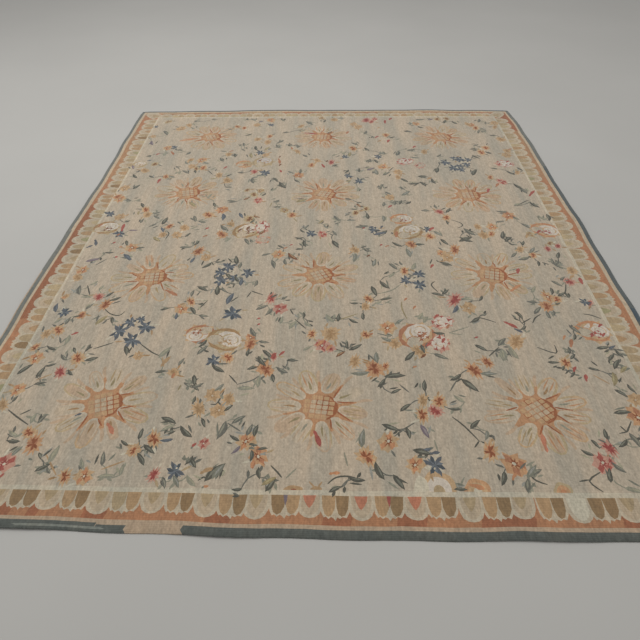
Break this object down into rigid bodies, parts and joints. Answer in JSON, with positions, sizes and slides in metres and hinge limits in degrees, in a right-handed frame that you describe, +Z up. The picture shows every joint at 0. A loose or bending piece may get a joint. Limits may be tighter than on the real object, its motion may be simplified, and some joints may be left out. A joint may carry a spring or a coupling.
{
  "type": "aubusson rug",
  "caption": "Flat-woven tapestry rug lying flat, cream ground with a flowering trellis, sunflowers, a scalloped petal border and a dark outer band.",
  "frame": {"origin": "on the floor, under the middle of the rug's box", "axes": "+X across the rug, +Y along the rug away from the viewer, +Z up"},
  "size_m": [2.481, 3.0614, 0.0099],
  "materials": {
    "woven_wool": "matt weft-faced wool tapestry weave"
  },
  "bodies": {
    "root": {"rug": "woven_wool"}
  },
  "joints": []
}
